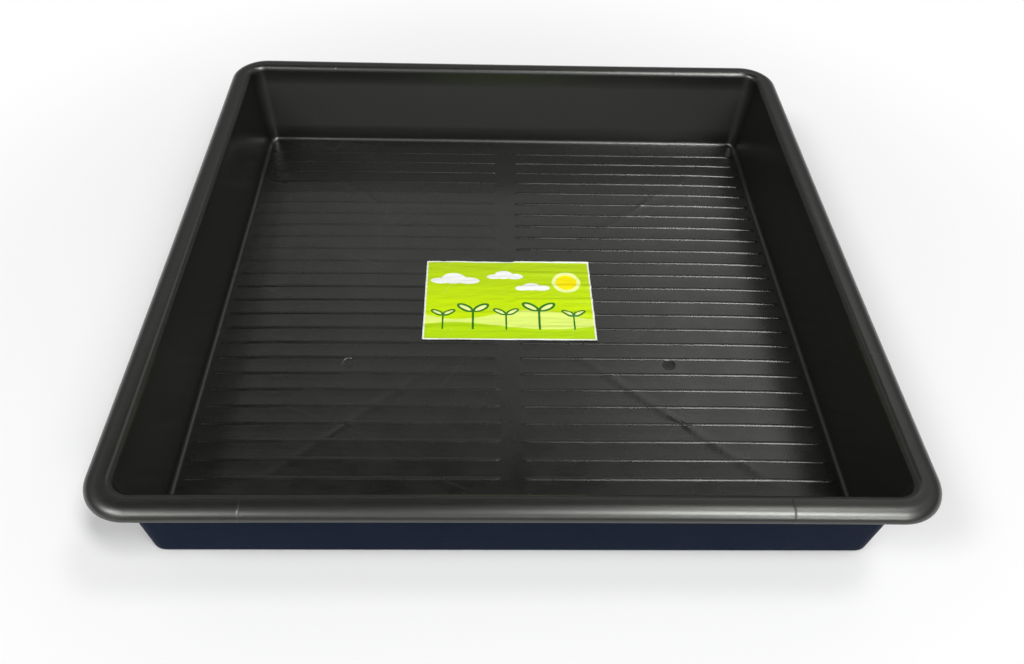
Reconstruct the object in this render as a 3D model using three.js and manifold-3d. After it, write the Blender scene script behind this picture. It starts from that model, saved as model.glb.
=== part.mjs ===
// Square plant growing tray: a one-piece moulded shell with a turned-down rim, tapered walls and a
// ribbed, slightly crowned floor, and the self-adhesive product label that lies over the ribs.
// Millimetres, +Z up. The origin is the middle of the footprint, on the surface the tray stands on.

import * as THREE from 'three';
import { mergeVertices } from 'three/addons/utils/BufferGeometryUtils.js';
import Module from 'manifold-3d';

// Driving dimensions of the shell.
const TRAY_WIDTH = 800; // left to right, over the rim
const TRAY_LENGTH = 800; // front to back, over the rim
const TRAY_HEIGHT = 120; // from the table to the top of the rim
const SHEET = 2; // thickness of the moulded plastic
const WALL_DRAFT = THREE.MathUtils.degToRad(5.5); // lean of the walls, so that trays nest
const OPENING_CORNER = 20; // corner radius of the opening, at the top of the wall
const FLOOR_CORNER = 8; // corner radius of the flat floor
const FLOOR_FILLET = 6; // round between wall and floor, on the inside

// Driving dimensions of the rim, measured on its underside.
const RIM_UNDER_RADIUS = 6; // bend from the wall out to the rim
const RIM_FLAT = 4; // flat strip along the top of the rim
const LIP_REACH = 13.5; // how far the rounded lip reaches out past the flat strip
const LIP_DROP = 8; // how far the lip turns down

// Driving dimensions of the floor.
const REST_BAND = 28; // flat band that the tray stands on, from the foot of the wall inwards
const CROWN = 2.5; // rise of the four-sided crown from that band to the middle
const RIB_PITCH = 25.15; // from rib to rib, front to back
const RIB_WIDTH = 4.5;
const RIB_HEIGHT = 1.5;
const RIB_TAPER = 2.5; // length over which a rib runs out at each end
const RIB_END_MARGIN = 9; // from the foot of the wall to the outer end of a rib
const RIB_ROW_MARGIN = 32; // least distance from the foot of the wall to the first rib
const BANK_GAP = 24; // bare strip between the left and the right bank of ribs
const MARK_DIAMETER = 16; // the two round moulding marks in the floor
const MARK_DEPTH = 0.5;
const MARK_INSET = 170; // from the foot of the side wall to the middle of a mark
const MARK_PITCHES = 4.5; // from the middle of the floor forwards to the marks, in rib pitches

// Driving dimensions of the label.
const LABEL_WIDTH = 218.5;
const LABEL_LENGTH = 146;
const LABEL_THICKNESS = 0.3;
const LABEL_GAP = 0.3; // clearance to the rib tops
const LABEL_DIP = 0.4; // share of the rib height that the label sinks between two ribs

// How finely round shapes are cut into facets.
const CORNER_STEPS = 8;
const BEND_STEPS = 5;
const RIB_STEPS = 4;
const MARK_SIDES = 32;
const LABEL_COLUMNS = 12;
const LABEL_ROWS_PER_PITCH = 4;

// Colours and finishes.
const PLASTIC = { color: 0x1b1c1c, roughness: 0.42, metalness: 0 };
const PRINTED_FILM = { color: 0xa6cf2f, roughness: 0.35, metalness: 0 };

// Sizes that follow from the driving dimensions. A point of the shell's profile is given by its
// height and by its distance out from the edge of the rim, which is negative towards the middle.
const rimBend = RIM_UNDER_RADIUS + SHEET;
const lipReach = LIP_REACH + SHEET;
const lipDrop = LIP_DROP + SHEET;
const rimWidth = rimBend + RIM_FLAT + lipReach;
const bendOut = rimBend - rimWidth;
const bendHeight = TRAY_HEIGHT - rimBend;
const lipOut = -lipReach;
const lipHeight = TRAY_HEIGHT - lipDrop;
const wallTopOut = bendOut - rimBend * Math.cos(WALL_DRAFT);
const wallTopHeight = bendHeight + rimBend * Math.sin(WALL_DRAFT);
const wallFootOut = wallTopOut - (wallTopHeight - SHEET) * Math.tan(WALL_DRAFT);
const filletOut = wallFootOut + FLOOR_FILLET * (Math.tan(WALL_DRAFT) - 1 / Math.cos(WALL_DRAFT));
const filletHeight = SHEET + FLOOR_FILLET;
const crownOut = wallFootOut - REST_BAND;
const crownHalfX = TRAY_WIDTH / 2 + crownOut;
const crownHalfY = TRAY_LENGTH / 2 + crownOut;
const floorHalfX = TRAY_WIDTH / 2 + wallFootOut;
const floorHalfY = TRAY_LENGTH / 2 + wallFootOut;
const ribRows = Math.floor((floorHalfY - RIB_ROW_MARGIN) / RIB_PITCH);

const wasm = await Module();
wasm.setup();

// Height of the floor's upper face, without its ribs.
function floorHeight(x, y) {
  const reach = Math.max(Math.abs(x) / crownHalfX, Math.abs(y) / crownHalfY);
  return SHEET + CROWN * Math.max(0, 1 - reach);
}

// Profile points on an arc, or on an arc of an ellipse. The corner rule turns a point's distance
// out into the radius of the tray's corners there.
function bend(centre, radii, from, to, cornerRule) {
  const points = [];
  for (let step = 0; step <= BEND_STEPS; step += 1) {
    const angle = from + ((to - from) * step) / BEND_STEPS;
    const out = centre.out + radii.out * Math.cos(angle);
    const height = centre.height + radii.up * Math.sin(angle);
    points.push({ out, height, corner: cornerRule(out) });
  }
  return points;
}

// The shell's profile: from the band under the floor, up the outside, over the rim and down inside.
function shellProfile() {
  const rimCorner = (out) => OPENING_CORNER + rimWidth + out;
  const floorCorner = (out) => FLOOR_CORNER + out - filletOut;
  const round = (radius) => ({ out: radius, up: radius });
  const foot = { out: filletOut, height: filletHeight };
  const shoulder = { out: bendOut, height: bendHeight };
  const lip = { out: lipOut, height: lipHeight };
  const down = -Math.PI / 2;
  const up = Math.PI / 2;
  const towardsWall = -WALL_DRAFT;
  const awayFromWall = Math.PI - WALL_DRAFT;
  return [
    { out: crownOut, height: 0, corner: FLOOR_CORNER },
    ...bend(foot, round(FLOOR_FILLET + SHEET), down, towardsWall, floorCorner),
    ...bend(shoulder, round(RIM_UNDER_RADIUS), awayFromWall, up, rimCorner),
    ...bend(lip, { out: LIP_REACH, up: LIP_DROP }, up, 0, rimCorner),
    ...bend(lip, { out: lipReach, up: lipDrop }, 0, up, rimCorner),
    ...bend(shoulder, round(rimBend), up, awayFromWall, rimCorner),
    ...bend(foot, round(FLOOR_FILLET), towardsWall, down, floorCorner),
    { out: crownOut, height: SHEET, corner: FLOOR_CORNER },
  ];
}

// One profile point carried round the tray, as a rectangle with round corners.
function ringAround({ out, height, corner }) {
  const cornerX = TRAY_WIDTH / 2 + out - corner;
  const cornerY = TRAY_LENGTH / 2 + out - corner;
  const ring = [];
  for (let quarter = 0; quarter < 4; quarter += 1) {
    const signX = quarter === 0 || quarter === 3 ? 1 : -1;
    const signY = quarter < 2 ? 1 : -1;
    for (let step = 0; step <= CORNER_STEPS; step += 1) {
      const angle = ((quarter + step / CORNER_STEPS) * Math.PI) / 2;
      const x = signX * cornerX + corner * Math.cos(angle);
      const y = signY * cornerY + corner * Math.sin(angle);
      ring.push(new THREE.Vector3(x, y, height));
    }
  }
  return ring;
}

function geometryFrom(points, triangles) {
  const geometry = new THREE.BufferGeometry();
  geometry.setFromPoints(points);
  geometry.setIndex(triangles);
  return geometry;
}

// A closed body through rings of equal count, shut at each end by a fan to one point.
function loft(rings, startPoint, endPoint) {
  const count = rings[0].length;
  const points = [...rings.flat(), startPoint, endPoint];
  const start = points.length - 2;
  const end = points.length - 1;
  const last = (rings.length - 1) * count;
  const triangles = [];
  for (let side = 0; side < count; side += 1) {
    const next = (side + 1) % count;
    triangles.push(start, next, side);
    for (let low = 0; low < last; low += count) {
      const high = low + count;
      triangles.push(low + side, low + next, high + next);
      triangles.push(low + side, high + next, high + side);
    }
    triangles.push(last + side, last + next, end);
  }
  return geometryFrom(points, triangles);
}

function plainShell() {
  const rings = shellProfile().map(ringAround);
  const underMiddle = new THREE.Vector3(0, 0, CROWN);
  const floorMiddle = new THREE.Vector3(0, 0, floorHeight(0, 0));
  return loft(rings, underMiddle, floorMiddle);
}

// Places along a rib where its shape changes: its tapers, the fold and the edge of the crown.
function ribStations(y) {
  const inner = BANK_GAP / 2;
  const outer = floorHalfX - RIB_END_MARGIN;
  const taper = Math.min(RIB_TAPER, (outer - inner) / 3);
  const fold = (Math.abs(y) * crownHalfX) / crownHalfY;
  const bends = [fold, crownHalfX].filter((x) => x > inner + taper && x < outer - taper);
  return [
    { x: inner, full: false },
    { x: inner + taper, full: true },
    ...bends.map((x) => ({ x, full: true })),
    { x: outer - taper, full: true },
    { x: outer, full: false },
  ];
}

// A section across a rib: a rounded top over a root that is sunk in the floor. Where the rib is not
// full, at its ends, the section lies wholly inside the floor.
function ribSection(x, y, full) {
  const root = SHEET / 2;
  const section = [];
  for (let step = 0; step <= RIB_STEPS; step += 1) {
    const across = 1 - (2 * step) / RIB_STEPS;
    const pointY = y + (across * RIB_WIDTH) / 2;
    const onEdge = step === 0 || step === RIB_STEPS;
    const crest = full ? RIB_HEIGHT * (1 - across ** 2) : -root / 2;
    const height = onEdge ? -root : crest;
    section.push(new THREE.Vector3(x, pointY, floorHeight(x, pointY) + height));
  }
  return section;
}

function middleOf(points) {
  const sum = points.reduce((total, point) => total.add(point), new THREE.Vector3());
  return sum.divideScalar(points.length);
}

// One rib. Side is 1 in the right bank and -1 in the left one.
function ribGeometry(side, y) {
  const rings = ribStations(y).map(({ x, full }) => ribSection(side * x, y, full));
  if (side < 0) rings.reverse();
  return loft(rings, middleOf(rings[0]), middleOf(rings[rings.length - 1]));
}

// The cutter for one round moulding mark, standing in the floor.
function markGeometry(side) {
  const x = side * (floorHalfX - MARK_INSET);
  const y = -MARK_PITCHES * RIB_PITCH;
  const height = MARK_DEPTH + RIB_HEIGHT;
  const cutter = new THREE.CylinderGeometry(MARK_DIAMETER / 2, MARK_DIAMETER / 2, height, MARK_SIDES);
  cutter.rotateX(Math.PI / 2);
  cutter.translate(x, y, floorHeight(x, y) - MARK_DEPTH + height / 2);
  return cutter;
}

// A closed geometry as a solid for joining and cutting.
function toSolid(geometry) {
  const bare = geometry.clone();
  bare.deleteAttribute('normal');
  bare.deleteAttribute('uv');
  const merged = mergeVertices(bare);
  const vertProperties = new Float32Array(merged.attributes.position.array);
  const triVerts = new Uint32Array(merged.index.array);
  return new wasm.Manifold(new wasm.Mesh({ numProp: 3, vertProperties, triVerts }));
}

function toGeometry(solid) {
  const mesh = solid.getMesh();
  const geometry = new THREE.BufferGeometry();
  geometry.setAttribute('position', new THREE.BufferAttribute(mesh.vertProperties, 3));
  geometry.setIndex(new THREE.BufferAttribute(mesh.triVerts, 1));
  return geometry;
}

// The whole moulding: the shell, with both banks of ribs on its floor and the two marks in it.
function shellGeometry() {
  let solid = toSolid(plainShell());
  for (const side of [-1, 1]) {
    for (let row = -ribRows; row <= ribRows; row += 1) {
      solid = solid.add(toSolid(ribGeometry(side, row * RIB_PITCH)));
    }
    solid = solid.subtract(toSolid(markGeometry(side)));
  }
  return toGeometry(solid);
}

// Underside of the label: it touches down near every rib top and dips a little in between.
function labelHeight(x, y) {
  const dip = (LABEL_DIP * (1 - Math.cos((2 * Math.PI * y) / RIB_PITCH))) / 2;
  return floorHeight(x, y) + RIB_HEIGHT * (1 - dip) + LABEL_GAP;
}

// Rows of points across the label: one on each rib, some in between, and the two cut edges.
function labelRows() {
  const step = RIB_PITCH / LABEL_ROWS_PER_PITCH;
  const half = LABEL_LENGTH / 2;
  const count = Math.ceil(half / step) - 1;
  const rows = [-half];
  for (let row = -count; row <= count; row += 1) rows.push(row * step);
  rows.push(half);
  return rows;
}

// The label as a thin closed sheet: an underside and an upper side, joined round the cut edge.
function labelGeometry() {
  const rows = labelRows();
  const across = LABEL_COLUMNS + 1;
  const layer = rows.length * across;
  const points = [];
  for (const lift of [0, LABEL_THICKNESS]) {
    for (const y of rows) {
      for (let column = 0; column < across; column += 1) {
        const x = LABEL_WIDTH * (column / LABEL_COLUMNS - 0.5);
        points.push(new THREE.Vector3(x, y, labelHeight(x, y) + lift));
      }
    }
  }
  const at = (row, column) => row * across + column;
  const triangles = [];
  const quad = (a, b, c, d) => triangles.push(a, b, c, a, c, d);
  const edge = (a, b) => quad(a, b, layer + b, layer + a);
  const lastRow = rows.length - 1;
  for (let row = 0; row < lastRow; row += 1) {
    for (let column = 0; column < LABEL_COLUMNS; column += 1) {
      const a = at(row, column);
      const b = at(row, column + 1);
      const c = at(row + 1, column + 1);
      const d = at(row + 1, column);
      quad(layer + a, layer + b, layer + c, layer + d);
      quad(d, c, b, a);
    }
    edge(at(row, LABEL_COLUMNS), at(row + 1, LABEL_COLUMNS));
    edge(at(row + 1, 0), at(row, 0));
  }
  for (let column = 0; column < LABEL_COLUMNS; column += 1) {
    edge(at(0, column), at(0, column + 1));
    edge(at(lastRow, column + 1), at(lastRow, column));
  }
  return geometryFrom(points, triangles);
}

function piece(name, geometry, finish) {
  const mesh = new THREE.Mesh(geometry, new THREE.MeshStandardMaterial({ ...finish, flatShading: true }));
  mesh.name = name;
  return mesh;
}

const tray = new THREE.Group();
tray.add(piece('tray_shell', shellGeometry(), PLASTIC));
tray.add(piece('product_label', labelGeometry(), PRINTED_FILM));

export default tray;
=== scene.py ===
"""Looks of a square plant growing tray: the black moulded shell and the printed label on its floor.

Sizes in the classes below are millimetres unless the class says otherwise. Meshes are in metres.
"""

import logging
import math
from collections.abc import Callable, Iterable
from dataclasses import dataclass
from enum import Enum
from functools import reduce
from typing import ClassVar

import bpy
import numpy as np
from mathutils import Matrix, Vector


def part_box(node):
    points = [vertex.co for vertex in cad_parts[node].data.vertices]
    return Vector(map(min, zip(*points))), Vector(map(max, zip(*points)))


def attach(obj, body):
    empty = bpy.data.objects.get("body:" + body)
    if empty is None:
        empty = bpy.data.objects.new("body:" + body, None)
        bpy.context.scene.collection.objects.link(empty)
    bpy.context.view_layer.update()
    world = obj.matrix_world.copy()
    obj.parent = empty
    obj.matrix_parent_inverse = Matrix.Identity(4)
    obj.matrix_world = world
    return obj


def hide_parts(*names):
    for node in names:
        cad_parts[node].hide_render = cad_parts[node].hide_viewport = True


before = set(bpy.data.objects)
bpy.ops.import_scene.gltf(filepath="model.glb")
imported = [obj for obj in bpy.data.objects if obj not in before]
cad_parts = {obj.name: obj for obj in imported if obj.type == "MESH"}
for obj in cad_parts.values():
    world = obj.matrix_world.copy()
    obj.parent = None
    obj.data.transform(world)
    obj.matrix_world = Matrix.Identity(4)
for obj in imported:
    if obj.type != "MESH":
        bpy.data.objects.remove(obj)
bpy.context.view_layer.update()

MM = 0.001
LOG = logging.getLogger("growing_tray")

# Smooth noise mostly keeps to this range.
NOISE_LOW = 0.3
NOISE_HIGH = 0.7

# Direction in degrees and stretch of each run of scratches, and how softly a scratch fades.
SCRATCH_RUNS = ((24.0, 0.035), (-58.0, 0.05))
SCRATCH_SOFTNESS = 0.05

# How much slower the drawn grain changes across the tray than along it.
STREAK_STRETCH = 0.1

# Watts that give one square metre of an area light a brightness of 1.
WATTS_PER_AREA = 4.0

Colour = tuple[float, float, float]
Face = tuple[int, ...]
Socket = bpy.types.NodeSocket
Node = bpy.types.Node
NodeTree = bpy.types.NodeTree
Material = bpy.types.Material
Item = bpy.types.Object


class TreeKind(Enum):
    """The two kinds of node tree that are built here."""

    SHADER = "ShaderNodeTree"
    GEOMETRY = "GeometryNodeTree"


class Zone(Enum):
    """The stretch of the shell's profile that a point belongs to."""

    OUTSIDE = "outside"
    UNDER_RIM = "under_rim"
    RIM = "rim"
    INSIDE = "inside"
    FOOT = "foot"


class FloorSide(Enum):
    """Which face of the floor a point belongs to, as stored on the mesh."""

    NONE = 0.0
    TOP = 1.0
    UNDERSIDE = -1.0


class Sketch:
    """Adds nodes to one tree and feeds them from numbers, colours or other sockets alike."""

    def __init__(self, tree: NodeTree) -> None:
        """Work on the given tree."""
        self.tree = tree

    def feed(self, socket: Socket, value: object) -> None:
        """Link a socket to an input, or set the input's own value.

        Args:
            socket: The input.
            value: A socket, a plain value, or None to leave the input alone.
        """
        if isinstance(value, Socket):
            self.tree.links.new(value, socket)
        elif value is not None:
            socket.default_value = value

    def add(self, kind: str, *values: object, **settings: object) -> Node:
        """Add a node and feed its first inputs in order.

        Args:
            kind: The node's type.
            *values: What feeds the inputs.
            **settings: The node's own properties.

        Returns:
            The node.
        """
        node = self.tree.nodes.new(kind)
        for name, setting in settings.items():
            setattr(node, name, setting)
        for socket, value in zip(node.inputs, values):
            self.feed(socket, value)
        return node

    def named(self, kind: str, inputs: dict[str, object], **settings: object) -> Node:
        """Add a node and feed its inputs by name.

        Args:
            kind: The node's type.
            inputs: What feeds each named input.
            **settings: The node's own properties.

        Returns:
            The node.
        """
        node = self.add(kind, **settings)
        for name, value in inputs.items():
            self.feed(node.inputs[name], value)
        return node

    def math(self, operation: str, *values: object) -> Socket:
        """Give the result of one arithmetic step."""
        return self.add("ShaderNodeMath", *values, operation=operation).outputs[0]

    def chain(self, operation: str, values: Iterable[object]) -> Socket:
        """Carry one arithmetic step through two or more values."""
        return reduce(lambda result, value: self.math(operation, result, value), values)

    def plus(self, *values: object) -> Socket:
        """Give the sum of two or more values."""
        return self.chain("ADD", values)

    def times(self, *values: object) -> Socket:
        """Give the product of two or more values."""
        return self.chain("MULTIPLY", values)

    def minus(self, value: object, taken: object) -> Socket:
        """Give what is left of a value."""
        return self.math("SUBTRACT", value, taken)

    def ratio(self, value: object, unit: object) -> Socket:
        """Give a value as a multiple of another."""
        return self.math("DIVIDE", value, unit)

    def magnitude(self, value: object) -> Socket:
        """Give a value without its sign."""
        return self.math("ABSOLUTE", value)

    def distance(self, over: Socket, up: Socket) -> Socket:
        """Give the length of a step across and along."""
        return self.math("SQRT", self.plus(self.times(over, over), self.times(up, up)))

    def ramp(
        self, value: object, low: object, high: object, start: object = 0.0, end: object = 1.0
    ) -> Socket:
        """Carry a value smoothly from one range to another, held at both ends.

        Args:
            value: What is carried over.
            low: Where the result is at its start. It may lie above high.
            high: Where the result is at its end.
            start: The result at low.
            end: The result at high.

        Returns:
            The result.
        """
        node = self.add("ShaderNodeMapRange", value, low, high, start, end, interpolation_type="SMOOTHSTEP")
        return node.outputs[0]

    def mix(self, share: object, first: object, second: object) -> Socket:
        """Blend two colours."""
        node = self.add("ShaderNodeMix", share, data_type="RGBA")
        self.feed(node.inputs[6], rgba(first))
        self.feed(node.inputs[7], rgba(second))
        return node.outputs[2]

    def blend(self, share: object, first: object, second: object) -> Socket:
        """Blend two numbers."""
        node = self.add("ShaderNodeMix", share, None, first, second, data_type="FLOAT")
        return node.outputs[0]

    def vector(self, x: object, y: object, z: object) -> Socket:
        """Join three numbers to a vector."""
        return self.add("ShaderNodeCombineXYZ", x, y, z).outputs[0]

    def split(self, vector: Socket) -> list[Socket]:
        """Part a vector into its three numbers."""
        return list(self.add("ShaderNodeSeparateXYZ", vector).outputs)

    def scaled(self, vector: Socket, factors: tuple[float, float, float]) -> Socket:
        """Stretch a vector by a factor along each axis."""
        return self.add("ShaderNodeVectorMath", vector, factors, operation="MULTIPLY").outputs[0]

    def turned(self, vector: Socket, degrees: float) -> Socket:
        """Turn a vector about the upright axis."""
        angle = math.radians(degrees)
        return self.named("ShaderNodeVectorRotate", {"Vector": vector, "Angle": angle}).outputs[0]

    def noise(self, vector: Socket, scale: object, detail: float = 2.0, roughness: float = 0.5) -> Socket:
        """Give smooth noise from 0 to 1.

        Args:
            vector: Where the noise is read.
            scale: How many waves fit in one unit.
            detail: How many finer layers are added.
            roughness: How strong the finer layers are.

        Returns:
            The noise.
        """
        inputs = {"Vector": vector, "Scale": scale, "Detail": detail, "Roughness": roughness}
        return self.named("ShaderNodeTexNoise", inputs).outputs[0]

    def group(self, tree: NodeTree, inputs: dict[str, object]) -> dict[str, Socket]:
        """Place a node group.

        Args:
            tree: The group's tree.
            inputs: What feeds its named inputs.

        Returns:
            Its outputs by name.
        """
        kind = "GeometryNodeGroup" if tree.bl_idname == TreeKind.GEOMETRY.value else "ShaderNodeGroup"
        node = self.named(kind, inputs, node_tree=tree)
        return {socket.name: socket for socket in node.outputs}


def rgba(value: object) -> object:
    """Give a colour its alpha, and leave anything else as it is."""
    return (*value, 1.0) if isinstance(value, tuple) else value


def new_tree(
    name: str, kind: TreeKind, inputs: dict[str, str], outputs: dict[str, str]
) -> tuple[Sketch, dict[str, Socket], Node]:
    """Make a node group with named sockets.

    Args:
        name: The group's name.
        kind: Whether it shades or shapes.
        inputs: Socket type of each named input.
        outputs: Socket type of each named output.

    Returns:
        The sketch on the new tree, its inputs by name, and its output node.
    """
    tree = bpy.data.node_groups.new(name, kind.value)
    for label, socket_type in inputs.items():
        tree.interface.new_socket(label, in_out="INPUT", socket_type=socket_type)
    for label, socket_type in outputs.items():
        tree.interface.new_socket(label, in_out="OUTPUT", socket_type=socket_type)
    sketch = Sketch(tree)
    given = {socket.name: socket for socket in sketch.add("NodeGroupInput").outputs}
    return sketch, given, sketch.add("NodeGroupOutput")


def new_material(name: str) -> tuple[Material, Sketch, Node]:
    """Make a material with an empty Principled shader.

    Args:
        name: The material's name.

    Returns:
        The material, the sketch on its tree, and the shader node.
    """
    material = bpy.data.materials.new(name)
    material.use_nodes = True
    sketch = Sketch(material.node_tree)
    return material, sketch, material.node_tree.nodes["Principled BSDF"]


def shape_with(item: Item, tree: NodeTree, values: dict[str, object]) -> None:
    """Put a Geometry Nodes tree on an object and set its inputs.

    Args:
        item: The object.
        tree: The tree.
        values: What each named input is set to.
    """
    modifier = item.modifiers.new(tree.name, "NODES")
    modifier.node_group = tree
    for socket in tree.interface.items_tree:
        if socket.in_out == "INPUT" and socket.name in values:
            modifier[socket.identifier] = values[socket.name]


def finish_tree(sketch: Sketch, geometry: Socket, material: Socket) -> Socket:
    """End a shaping tree: make instances real and set the material.

    Args:
        sketch: The sketch on the tree.
        geometry: The shape so far.
        material: The material input.

    Returns:
        The dressed shape.
    """
    real = sketch.add("GeometryNodeRealizeInstances", geometry).outputs[0]
    return sketch.named("GeometryNodeSetMaterial", {"Geometry": real, "Material": material}).outputs[0]


def settle(item: Item) -> None:
    """Turn an object's evaluated shape into a plain smooth mesh, and drop its modifiers."""
    graph = bpy.context.evaluated_depsgraph_get()
    mesh = bpy.data.meshes.new_from_object(item.evaluated_get(graph), depsgraph=graph)
    first = item.data
    item.modifiers.clear()
    item.data = mesh
    bpy.data.meshes.remove(first)
    mesh.name = item.name


def new_object(name: str, points: np.ndarray, faces: list[Face]) -> Item:
    """Make a smooth-shaded mesh object.

    Args:
        name: The object's and the mesh's name.
        points: Its points, in millimetres.
        faces: Its faces, as point numbers.

    Returns:
        The object, at the origin.
    """
    mesh = bpy.data.meshes.new(name)
    mesh.from_pydata((points * MM).tolist(), [], faces)
    mesh.shade_smooth()
    item = bpy.data.objects.new(name, mesh)
    bpy.context.scene.collection.objects.link(item)
    return item


def store(item: Item, name: str, values: np.ndarray) -> None:
    """Store one number per point on an object's mesh."""
    attribute = item.data.attributes.new(name, "FLOAT", "POINT")
    attribute.data.foreach_set("value", values.astype(np.float32))


def grid_faces(number: np.ndarray) -> list[Face]:
    """Give the four-sided faces of a grid, from its point numbers row by row."""
    corners = (number[:-1, :-1], number[:-1, 1:], number[1:, 1:], number[1:, :-1])
    return [tuple(face) for face in np.stack(corners, -1).reshape(-1, 4).tolist()]


def zip_loops(outer: np.ndarray, inner: np.ndarray, points: np.ndarray) -> list[Face]:
    """Fill the strip between two closed loops that run anticlockwise round the middle.

    Args:
        outer: Point numbers of the outer loop.
        inner: Point numbers of the inner loop.
        points: All points.

    Returns:
        Triangles that face up.
    """
    loops = []
    for loop in (outer, inner):
        angles = np.arctan2(points[loop, 1], points[loop, 0]) % math.tau
        first = int(np.argmin(angles))
        order = np.roll(loop, -first)
        turn = np.roll(angles, -first)
        loops.append((np.append(order, order[0]), np.append(turn, turn[0] + math.tau)))
    (far, far_turn), (near, near_turn) = loops
    faces = []
    i = 0
    j = 0
    while i < len(outer) or j < len(inner):
        step_outer = j == len(inner) or (i < len(outer) and far_turn[i + 1] <= near_turn[j + 1])
        if step_outer:
            faces.append((int(far[i]), int(far[i + 1]), int(near[j])))
            i += 1
        else:
            faces.append((int(far[i]), int(near[j + 1]), int(near[j])))
            j += 1
    return faces


def thinned(lines: Iterable[float], least: float) -> np.ndarray:
    """Sort grid lines and drop those that crowd their neighbour.

    Args:
        lines: Places of the lines.
        least: The least distance that is kept.

    Returns:
        The places that are left.
    """
    kept: list[float] = []
    for place in sorted(lines):
        if not kept or place - kept[-1] >= least:
            kept.append(place)
    return np.array(kept)


@dataclass(frozen=True)
class ProfilePoint:
    """One point of the shell's profile.

    The distance out is measured from the edge of the rim and is negative towards the middle. The lean
    is the angle of the surface's normal on the rim, from level to upright.
    """

    out: float
    height: float
    corner: float
    zone: Zone
    lean: float = 0.0


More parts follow.
